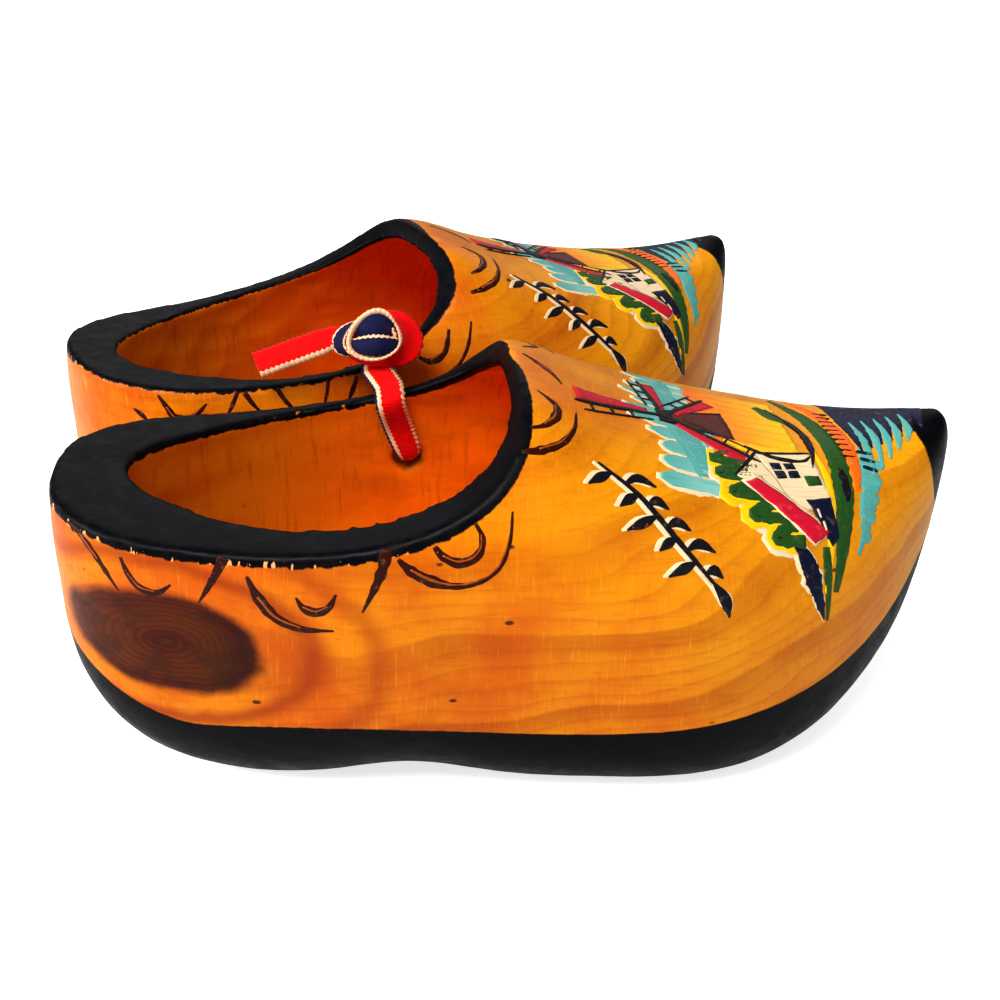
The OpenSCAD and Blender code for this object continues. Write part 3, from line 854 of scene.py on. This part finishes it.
def sky_and_field(film, at, chance):
    """Overlapping brush strokes: blue-green sky over cream, then a field from orange to yellow."""
    for k in range(11):
        angle = -27 + 6.2 * k
        reach = 55.5 + 3.5 * chance.random() + 0.002 * (angle - 5) ** 2
        film.stroke(at((reach - 0.7, angle, 1.4), (61, angle + 1.5, 4.0), (68, angle + 3, 3.4)),
                    LIMEWASH, 0.04, ragged=0.3)
        film.stroke(at((reach, angle, 1.0), (61, angle + 1, 3.3), (67 + 2 * chance.random(), angle + 3, 2.6)),
                    TEAL, 0.07, ragged=0.3, fade=SKY_PALE)
    film.stroke(at((64.6, -26, 2.0), (63.4, -8, 5.0), (63.4, 12, 6.0), (65.4, 34, 4.0)),
                TEAL, 0.07, ragged=0.3)
    for k in range(8):
        angle = -21 + 5.4 * k
        film.stroke(at((67 + 1.5 * chance.random(), angle, 2.0), (73, angle + 1, 3.9), (82, angle + 4, 3.0)),
                    ORANGE, 0.09 + 0.004 * k, fade=YELLOW, ragged=0.25)
    film.stroke(at((70, 16, 1.0), (75, 20, 3.6), (80, 22, 4.2), (83, 21, 2.0)), YELLOW, 0.13, ragged=0.4)


def water(film, at):
    """Dark water towards the toe, combed with paler strokes, and a stream down the side."""
    for k in range(7):
        film.stroke(at((91.5 + 2.0 * k, -30, 1.4), (92.6 + 1.9 * k, -8, 3.0),
                       (92.4 + 1.8 * k, 17 - 1.6 * k, 0.4)), SEA, 0.08, ragged=0.2)
    for k in range(5):
        film.stroke(at((93.2 + 2.0 * k, -4, 0.3), (93.5 + 1.9 * k, 11 - k, 1.3),
                       (92.9 + 1.8 * k, 29 - 4 * k, 0.5)), TEAL, 0.12, ragged=0.4)
    film.stroke(at((92.2, 14, 0.8), (92.2, 28, 3.6), (90.8, 40, 3.0), (89.6, 50, 2.0), (88.2, 58, 0.5)),
                TEAL, 0.07, ragged=0.5)
    for k in range(5):
        film.line(*at((91.2 - 0.5 * k, 22 + 7 * k), (94.9 - 1.1 * k, 25 + 7 * k)), 2.2, TEAL, 0.08)
    for k in range(3):
        film.line(*at((91.4, 17 + 4 * k), (93.6, 19 + 4 * k)), 0.9, SEA, 0.12)


def ground(film, at):
    """Ground bands, a hedge of short strokes, and the outline of a hill."""
    film.stroke(at((83, -26, 0.8), (86.4, -8, 2.6), (87.6, 12, 3.2), (87.2, 32, 3.4), (85.8, 50, 3.0),
                   (84, 69, 1.0)), LEAF, 0.13, ragged=0.2)
    film.stroke(at((85.8, -28, 0.5), (89.2, -8, 2.0), (90.4, 8, 2.2), (90.0, 28, 1.6), (89.2, 36, 0.4)),
                ORANGE, 0.15, ragged=0.2)
    for k in range(10):
        film.line(*at((88.5, -13 + 3.6 * k), (90.7, -12 + 3.6 * k)), 0.45, INK, 0.18)
    for points, tint, lift, ragged in (
        ([(87.4, 26, 0.8), (87.6, 33, 1.8), (87.2, 40, 0.8)], INK, 0.17, 0.6),
        ([(84.2, 16, 0.4), (84.8, 32, 1.3), (83.8, 48, 1.7), (82.2, 69, 0.6)], YELLOW, 0.16, 0.3),
        ([(80.6, -14, 0.4), (83.8, 2, 1.3), (84.2, 16, 1.2), (83.0, 27, 0.3)], INK, 0.17, 0.5),
        ([(73, 18, 0.3), (77, 23, 1.1), (81.5, 24, 0.8), (83.4, 21, 0.4)], INK, 0.17, 0.5),
        ([(79.0, -15, 1.6), (81.2, -7, 3.0), (83, -3, 0.8)], LEAF, 0.16, 0.3),
    ):
        film.stroke(at(*points), tint, lift, ragged=ragged)


def tree_top(film, at):
    """A tree's crown: one zigzag stroke in cream, yellow and green, and one more leaf."""
    crown = [(66.4, 26), (72, 28.5), (67.4, 32), (74, 34), (68.8, 38.5), (76, 40), (71.4, 45.5),
             (78, 47), (74.4, 52), (79, 53.5)]
    for shift, width, tint, lift, ragged in (
        (0.2, 5.0, LIMEWASH, 0.11, 0.3),
        (0.3, 4.2, YELLOW, 0.13, 0.5),
        (0.0, 2.3, LEAF, 0.18, 0.5),
    ):
        film.stroke(at(*[(x - shift, a, width) for x, a in crown]), tint, lift, ragged=ragged)
    film.stroke(at((70, 22, 0.4), (68, 25, 1.8), (71, 29, 2.4), (74, 28, 0.5)), LEAF, 0.18, ragged=0.4)


def cottage(film, at):
    """White walls under a red roof, with four windows, a door, and a barn beside it."""
    film.patch(at((74.0, 21), (83.4, 19), (84.6, 41), (78.0, 45)), LIMEWASH, 0.16)
    film.patch(at((69.9, 32), (70.2, 33), (78.6, 45), (74.0, 21)), LIMEWASH, 0.18)
    film.stroke(at((69.7, 32.6, 0.4), (72.2, 27, 0.8), (74.8, 20, 0.5)), INK, 0.22, ragged=0.3)
    film.patch(at((70.4, 34.5), (73.0, 31.5), (83.8, 50), (80.6, 55)), LIMEWASH, 0.19)
    film.patch(at((71, 35), (73.2, 33), (83.2, 50.4), (80.6, 54)), CRIMSON, 0.21)
    for x, a in ((76, 26), (78.2, 25.6), (76.3, 29.6), (78.5, 29.2)):
        film.patch(at((x, a), (x + 1.7, a - 0.4), (x + 1.9, a + 2.6), (x + 0.2, a + 3)), SEA, 0.21)
    film.patch(at((81, 31), (83.4, 30.4), (83.6, 34.2), (81.2, 34.8)), LEAF, 0.21)
    film.line(*at((74.4, 21.6), (83.4, 19.4)), 0.6, INK, 0.22)
    film.patch(at((80.2, 40), (84.2, 39), (84.8, 52), (83.4, 55)), SEA, 0.2)
    film.line(*at((81.8, 43), (82.1, 46)), 0.5, LIMEWASH, 0.22)
    film.line(*at((82.4, 47), (82.7, 50)), 0.5, LIMEWASH, 0.22)


def run_out(film, at):
    """Brush marks that run out below the cottage."""
    for points, tint, lift, ragged in (
        ([(76.6, 51, 0.6), (78.8, 59, 3.9), (80.6, 68, 3.2), (82.2, 78, 0.3)], LIMEWASH, 0.12, 0.5),
        ([(77.0, 51.5, 0.6), (79.0, 59, 3.2), (80.6, 68, 2.6), (82.2, 77.5, 0.3)], SEA, 0.14, 0.5),
        ([(82.4, 55, 1.5), (82.6, 66, 1.3), (82.8, 78, 0.3)], LEAF, 0.18, 0.4),
    ):
        film.stroke(at(*points), tint, lift, ragged=ragged)


def landscape(clog, tree):
    """A country picture over the vamp, its sky towards the opening and its water towards the toe."""
    film = Film(clog, tree, "landscape")
    turn = 0 if clog is RIGHT else -6

    def at(*points):
        return [(p[0], p[1] + turn, *p[2:]) for p in points]

    sky_and_field(film, at, random.Random(11))
    for draw in (water, ground, tree_top, cottage, run_out):
        draw(film, at)
    windmill(film, turn)
    return film.built()


def film_material():
    """Brushed paint in each mark's own tint, worn through to the wood in places."""
    g = Graph("brushed_paint")
    tint = g.node("ShaderNodeAttribute", attribute_name="tint").outputs["Color"]
    along, across, seed = g.split(g.field("mark", vector=True))
    bristles = g.noise(g.join(g.times(along, 0.25), g.times(across, 5.0), seed), 1.0, 3, 0.6)
    own = g.object_mm()
    mottle = g.noise(own, 0.9, 4, 0.6)
    darker = g.mix(0.55, tint, BLACK)
    colour = g.tinge(tint, darker, g.range(bristles, 0.45, 0.75), 0.5)
    colour = g.tinge(colour, LIMEWASH, g.range(mottle, 0.55, 0.75), 0.1)
    worn = g.range(g.noise(own, 1.6, 3, 0.6), 0.68, 0.73)
    colour = g.tinge(colour, AMBER_WOOD, worn, 0.85)
    height = g.minus(g.times(bristles, 0.6), g.times(worn, 0.8))
    normal = g.bump(height, 0.4, 0.08 * MM)
    return g.finish(colour, g.range(mottle, 0.3, 0.7, 0.34, 0.5), normal, 0.04, 0.25, specular=0.12)


# ---------------------------------------------------------------- the ribbon

WEAVE_RED = srgb(222, 0, 2)
WEAVE_WHITE = srgb(236, 192, 152)
WEAVE_NAVY = srgb(20, 24, 62)
RIBBON_SOIL = srgb(80, 30, 20)
TURN = 2 * math.pi
NICK_MM, NICK_DEPTH = 0.9, 0.06
RIB_MM = 0.42
THREADS = 26
STRIP_CORNERS = 4


def rings_of(node):
    """The CAD strip's path: the middle and the half width, as a vector, at each of its sections."""
    bm = bmesh.new()
    bm.from_mesh(frame["nodes"][node].data)
    bmesh.ops.remove_doubles(bm, verts=bm.verts, dist=WELD)
    tips = [v for v in bm.verts if len(v.link_edges) == 4]
    tips.sort(key=lambda v: -v.co.z if "leg" in node else v.co.y)
    level = {tips[0]}
    seen = set(level)
    out = []
    while level:
        nearby = {e.other_vert(v) for v in level for e in v.link_edges}
        level = nearby - seen
        seen |= level
        if len(level) == STRIP_CORNERS:
            co = np.array([v.co[:] for v in level])
            middle = co.mean(0)
            _, _, ways = np.linalg.svd(co - middle)
            half = ways[0] * np.abs((co - middle) @ ways[0]).max()
            if out and half @ out[-1][1] < 0:
                half = -half
            out.append((middle, half))
    bm.free()
    return out


def resample(path, gap):
    """The same path at an even gap, in metres."""
    middles = np.array([p[0] for p in path])
    halves = np.array([p[1] for p in path])
    travelled = np.concatenate([[0], np.cumsum(np.linalg.norm(np.diff(middles, axis=0), axis=1))])
    count = max(3, round(travelled[-1] / gap) + 1)
    at = np.linspace(0, travelled[-1], count)
    middles, halves = [
        np.stack([np.interp(at, travelled, values[:, k]) for k in range(3)], axis=1)
        for values in (middles, halves)
    ]
    for _ in range(3):
        middles[1:-1] = 0.5 * middles[1:-1] + 0.25 * (middles[:-2] + middles[2:])
    return middles, halves, at


def folded_ring(thick, curl, front, back, stops=9):
    """Section of a ribbon folded along its length: (across, through in mm, place in the weave)."""
    ring = []
    for k in range(stops):
        u = -1 + 2 * k / (stops - 1)
        bulge = thick / 2 * math.sqrt(max(1 - u ** 6, 0.02)) + curl * (1 - u * u)
        ring.append((u, bulge, front[0] + (front[1] - front[0]) * (u + 1) / 2))
    for k in range(stops):
        u = 1 - 2 * k / (stops - 1)
        bulge = -thick / 2 * math.sqrt(max(1 - u ** 6, 0.02)) + 0.6 * curl * (1 - u * u)
        ring.append((0.97 * u, bulge, back[0] + (back[1] - back[0]) * (u + 1) / 2))
    return ring


def cloth(name, path, ring, closed=False, face=None, gap=0.22 * MM):
    """Ribbon laid along a path of (middle, half width).

    Its front looks the way of face at the path's middle.
    """
    if closed:
        path = [*path, path[0]]
    middles, halves, at = resample(path, gap)
    if closed:
        middles, halves, at = middles[:-1], halves[:-1], at[:-1]
    if face is not None:
        k = len(middles) // 2
        if np.cross(middles[k + 1] - middles[k - 1], halves[k]) @ np.array(face) < 0:
            halves = -halves
    points, bands, alongs, faces = [], [], [], []
    count, n = len(middles), len(ring)
    for i in range(count):
        before = middles[i - 1] if i or closed else middles[0]
        after = middles[(i + 1) % count] if i < count - 1 or closed else middles[-1]
        ahead = (after - before) / np.linalg.norm(after - before)
        half = halves[i] - ahead * (halves[i] @ ahead)
        half *= np.linalg.norm(halves[i]) / np.linalg.norm(half)
        out = np.cross(ahead, half) / np.linalg.norm(half)
        along = at[i] / MM
        for u, v, band in ring:
            uneven = 1 + noise.noise(Vector((along * 0.7, u, 0)))
            nick = 1 + abs(u) ** 8 * NICK_DEPTH * math.sin(along * 2 * math.pi / NICK_MM) * uneven
            points.append(middles[i] + half * u * nick + out * v * MM)
            bands.append(band)
            alongs.append(along)
    for i in range(count if closed else count - 1):
        j = (i + 1) % count
        faces += [(i * n + k, i * n + (k + 1) % n, j * n + (k + 1) % n, j * n + k) for k in range(n)]
    if not closed:
        faces += [tuple(range(n)), tuple(range((count - 1) * n, count * n))]
    mesh = outward_mesh(name, points, faces)
    attribute(mesh, "band", np.array(bands))
    attribute(mesh, "along_mm", np.array(alongs))
    mesh.polygons.foreach_set("use_smooth", [len(p.vertices) == 4 for p in mesh.polygons])
    piece = linked(name, mesh)
    return piece


def ribbon_material():
    """Woven cotton: the band field picks the stripe, ribs and threads raise the weave, and painted shade
    darkens its grooves.
    """
    g = Graph("woven_ribbon")
    band, along = g.field("band"), g.field("along_mm")
    wander = g.times(g.math("SINE", g.times(along, TURN / NICK_MM)), 0.012)
    colour = g.ramp(g.plus(band, wander), (0.0, WEAVE_WHITE), (0.065, WEAVE_RED), (0.46, WEAVE_WHITE),
                    (0.54, WEAVE_NAVY), (0.935, WEAVE_WHITE), ease="CONSTANT")
    own = g.object_mm()
    ribs = g.math("SINE", g.times(along, TURN / RIB_MM))
    threads = g.math("SINE", g.times(band, TURN * THREADS))
    weave = g.plus(g.times(ribs, 0.7), g.times(threads, 0.3))
    soil = g.noise(own, 0.35, 3, 0.6)
    fuzz = g.noise(own, 4.0, 2, 0.6)
    # Painted shade: darker where the weave dips, in the grooves between ribs and threads.
    colour = g.tinge(colour, BLACK, g.range(weave, 0.2, -1.0), 0.22)
    colour = g.tinge(colour, BLACK, g.range(g.noise(own, 0.5, 3, 0.6), 0.4, 0.7), 0.2)
    colour = g.tinge(colour, RIBBON_SOIL, g.range(soil, 0.5, 0.8), 0.25)
    height = g.plus(g.times(weave, 0.6), g.times(fuzz, 0.9))
    normal = g.bump(height, 0.45, 0.06 * MM)
    return g.finish(colour, g.range(fuzz, 0.3, 0.7, 0.6, 0.85), normal, sheen=0.04, specular=0.12)


# The weave from one edge to the other: white edge, red, white, navy, white edge.
LEG_FRONT, LEG_BACK = (0.585, 0.0), (0.585, 1.0)
TAIL_FRONT, TAIL_BACK = (0.08, 0.535), (0.08, 0.96)
TOWARDS_EYE = (0.0, -0.80, 0.60)


def tie_ribbon():
    """The ribbon from clog to clog, its two tails and its knot."""
    weave = ribbon_material()
    low, high = [np.array(v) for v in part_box("ribbon_knot")]
    knot, half = (low + high) / 2, (high - low) / 2
    right, left, bridge = [rings_of("ribbon_" + name) for name in ("right_leg", "left_leg", "bridge")]
    leg_ring = folded_ring(0.6, 0.25, LEG_FRONT, LEG_BACK)

    top = knot + np.array([-1.4, -1.6, -2.4]) * MM
    path = [(top, right[0][1] * 0.85), *slanted(right, np.array([-0.4, -0.3, 0]) * MM), bridge[0]]
    leg = cloth("ribbon_right_leg_cloth", path, leg_ring, face=TOWARDS_EYE)
    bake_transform(leg)
    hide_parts("ribbon_right_leg")

    top = knot + np.array([1.0, 1.2, -2.6]) * MM
    path = [(top, left[0][1] * 0.85), *left, bridge[-1]]
    other = cloth("ribbon_left_leg_cloth", path, leg_ring, face=(0, 1, 0))
    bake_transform(other)
    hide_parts("ribbon_left_leg")

    bridge_ring = folded_ring(1.3, 0.0, LEG_FRONT, LEG_BACK)
    middle = cloth("ribbon_bridge_cloth", bridge, bridge_ring, face=(0, 0, 1))
    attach(middle, "ribbon")
    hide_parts("ribbon_bridge")

    tails = [ribbon_tail("long", knot, 2.2, TOWARDS_EYE), ribbon_tail("short", knot, 1.8, (0, 0, 1))]
    wraps = knot_wraps(knot, half)
    for piece in wraps:
        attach(piece, "ribbon")
        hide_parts("ribbon_knot")
    for piece in (leg, other, middle, *tails, *wraps):
        piece.data.materials.append(weave)


def ribbon_tail(name, knot, inset, face):
    """One hanging end, which starts narrower, inset by so many mm inside the knot."""
    rings = rings_of("ribbon_" + name + "_tail")
    if np.linalg.norm(rings[0][0] - knot) > np.linalg.norm(rings[-1][0] - knot):
        rings.reverse()
    start, half = rings[0]
    way = rings[-1][0] - start
    root = start - way / np.linalg.norm(way) * inset * MM - np.array([0, 0, 0.4]) * MM
    path = [(root, half * 0.7), (start, half * 0.8), *rings[2:]]
    ring = folded_ring(0.55, 0.4, TAIL_FRONT, TAIL_BACK)
    tail = cloth("ribbon_" + name + "_tail_cloth", path, ring, face=face)
    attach(tail, name + "_tail")
    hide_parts("ribbon_" + name + "_tail")
    return tail


def slanted(rings, shift, over=14):
    """The same strip with its first rings shifted, less and less over so many of them."""
    return [(middle + shift * max(1 - k / over, 0), half) for k, (middle, half) in enumerate(rings)]


def band_ring(thick, start, end, crown=0.0, stops=13):
    """Section of flat ribbon that shows the weave from start to end on both faces.

    crown bows it outwards, in mm.
    """
    ring = []
    for sign in (1, -1):
        for k in range(stops):
            u = sign * (-1 + 2 * k / (stops - 1))
            ring.append((u, sign * thick / 2 + crown * (1 - u * u), start + (end - start) * (u + 1) / 2))
    return ring


def round_loop(centre, across, upright, wide, tall, spread, count=60):
    """A closed path round an egg, narrow at its top, in the plane of across and upright.

    spread(cosine, sine) is the ribbon from its front edge to its back edge.
    """
    path = []
    for k in range(count):
        a = 2 * math.pi * k / count
        c, s = math.cos(a), math.sin(a)
        front = centre + wide * (c * (1 - 0.25 * s) + 0.1 * s) * across + tall * s * upright
        span = spread(c, s)
        path.append((front + span / 2, span / 2))
    return path


def over_knot(knot, half, first, second, start, sweep, width, count=40):
    """A path over the knot's ellipsoid in the plane of two directions."""
    first, second = [np.array(v) / np.linalg.norm(v) for v in (first, second)]
    flat = np.cross(first, second)
    path = []
    for k in range(count):
        a = math.radians(start + sweep * k / (count - 1))
        way = math.cos(a) * first + math.sin(a) * second
        reach = 1 / np.linalg.norm(way / half)
        path.append((knot + way * reach, flat * width / 2 * MM))
    return path


def knot_wraps(knot, half):
    """The knot: a loop seen end on, two folds inside it, a collar at the tail and turns round the back."""
    out, upright, across = np.array(TOWARDS_EYE), np.array([0.0, 0.60, 0.80]), np.array([1.0, 0.0, 0.0])
    eye = knot + (-1.4 * across - 0.6 * upright + 2.6 * out) * MM

    def lobe(c, s):
        side = 1.7 + 2.3 * c if c > 0 else 1.7 + 2.2 * c
        return (side * across - 2.6 * out + 0.3 * s * upright) * MM

    def collar(c, s):
        side = 0.8 - 1.3 * c if c < 0 else 0.8
        return (-side * across - 1.3 * out - 0.7 * s * upright) * MM

    def fold(lift, tall, deep):
        path = []
        for k in range(17):
            u = -1 + k / 8
            middle = (3.7 * u + 0.2) * across + lift * (1 - 0.3 * u * u) * upright
            middle = middle + (deep - 1.6 * u * u) * out
            path.append((eye + middle * MM, upright * tall * (1 - 0.45 * u * u) * MM))
        return path

    core = []
    for k in range(17):
        u = -1 + k / 8
        tall = 2.8 * math.sqrt(max(1 - 0.85 * u * u, 0.1))
        core.append((knot + across * (3.8 * u - 0.6) * MM - out * 0.8 * MM, upright * tall * MM))

    beside = eye - (0.5 * across + 0.6 * out) * MM
    loop = round_loop(eye, across, upright, 4.2 * MM, 4.3 * MM, lobe)
    neck = round_loop(beside, across, upright, 4.2 * MM, 3.7 * MM, collar)
    back = over_knot(knot + 1.2 * across * MM, half * 0.78, upright, -out, 10, 170, 4.6)
    cross = over_knot(knot + 0.2 * across * MM, half * 0.72, across, -out, 25, 130, 4.0)
    return [
        cloth("ribbon_knot_loop", loop, band_ring(0.5, 0.0, 0.45, 0.8), closed=True),
        cloth("ribbon_knot_collar", neck, band_ring(0.5, 0.47, 0.99, 0.3), closed=True),
        cloth("ribbon_knot_upper_fold", fold(1.7, 2.1, -0.5), band_ring(0.5, 0.55, 0.93, 0.6), face=out),
        cloth("ribbon_knot_lower_fold", fold(-1.9, 1.8, 0.4), band_ring(0.5, 0.93, 0.465, 0.6), face=out),
        cloth("ribbon_knot_back_turn", back, band_ring(0.5, 0.0, 1.0, 0.5)),
        cloth("ribbon_knot_cross_turn", cross, band_ring(0.5, 1.0, 0.0, 0.5)),
        cloth("ribbon_knot_core", core, folded_ring(3.4, 0.3, (0.1, 0.4), (0.1, 0.4))),
    ]


# ---------------------------------------------------------------- floor, light and camera

FLOOR_REACH = 6.0
WORLD_LIGHT = 0.3
AIM = (0.03, 0.04, 0.03)


def area_light(name, place, size, power):
    data = bpy.data.lights.new(name, "AREA")
    data.shape = "RECTANGLE"
    data.size, data.size_y = size
    data.energy = power
    light = linked(name, data)
    light.location = place
    light.rotation_euler = (Vector(AIM) - Vector(place)).to_track_quat("-Z", "Y").to_euler()


def white_floor():
    """A floor that takes soft shadows and is almost as white as the backdrop."""
    corners = [(-1, -1), (1, -1), (1, 1), (-1, 1)]
    mesh = bpy.data.meshes.new("floor")
    mesh.from_pydata([(x * FLOOR_REACH, y * FLOOR_REACH, 0) for x, y in corners], [], [(0, 1, 2, 3)])
    floor = linked("floor", mesh)
    g = Graph("pale_floor")
    mesh.materials.append(g.finish((0.8, 0.8, 0.8), 0.9, specular=0.1))
    seen = g.node("ShaderNodeLightPath").outputs["Is Camera Ray"]
    shader = g.tree.nodes["Principled BSDF"]
    shader.inputs["Emission Color"].default_value = (1, 1, 1, 1)
    g.plug(g.times(seen, 0.6), shader.inputs["Emission Strength"])


def white_backdrop():
    """A world that looks white to the camera but lights the clogs less than that."""
    world = bpy.data.worlds.new("studio")
    world.use_nodes = True
    tree = world.node_tree
    background = tree.nodes["Background"]
    background.inputs["Color"].default_value = (1, 1, 1, 1)
    path = tree.nodes.new("ShaderNodeLightPath")
    light = tree.nodes.new("ShaderNodeMapRange")
    light.inputs["To Min"].default_value = WORLD_LIGHT
    light.inputs["To Max"].default_value = 1.0
    tree.links.new(path.outputs["Is Camera Ray"], light.inputs["Value"])
    tree.links.new(light.outputs[0], background.inputs["Strength"])
    bpy.context.scene.world = world


def studio():
    white_floor()
    white_backdrop()
    area_light("key", (-0.2, -0.36, 0.7), (0.3, 0.3), 5.2)
    area_light("heel_side", (-0.6, -0.1, 0.36), (0.3, 0.3), 4.2)
    area_light("fill", (0.5, -0.7, 0.3), (0.6, 0.5), 0.5)
    area_light("rim_light", (0.1, 0.8, 0.5), (0.9, 0.3), 1.0)


def camera():
    """The photograph's viewpoint, solved from the clogs' outlines."""
    azimuth, elevation, roll = math.radians(-7.575), math.radians(29.496), math.radians(1.827)
    place = Vector((0.01356, -0.17751, 0.13883))
    reach = math.cos(elevation)
    forward = Vector((-math.sin(azimuth) * reach, math.cos(azimuth) * reach, -math.sin(elevation)))
    level = Vector((math.cos(azimuth), math.sin(azimuth), 0))
    upright = level.cross(forward)
    right = math.cos(roll) * level + math.sin(roll) * upright
    up = -math.sin(roll) * level + math.cos(roll) * upright
    data = bpy.data.cameras.new("camera")
    data.sensor_width = 36
    data.lens = 1.31566 * data.sensor_width
    data.clip_start = 0.01
    seen = linked("camera", data)
    seen.matrix_world = Matrix.Translation(place) @ Matrix((right, up, -forward)).transposed().to_4x4()
    bpy.context.scene.camera = seen


# ---------------------------------------------------------------- the pair

paint = film_material()
for clog in (RIGHT, LEFT):
    wood, tree = carve(clog)
    wood.data.materials.append(wood_material(clog))
    garland(clog, tree).data.materials.append(paint)
    sprig(clog, tree).data.materials.append(paint)
    landscape(clog, tree).data.materials.append(paint)
tie_ribbon()
studio()
camera()
bpy.context.scene.view_settings.view_transform = "Standard"
bpy.context.scene.view_settings.look = "Medium High Contrast"
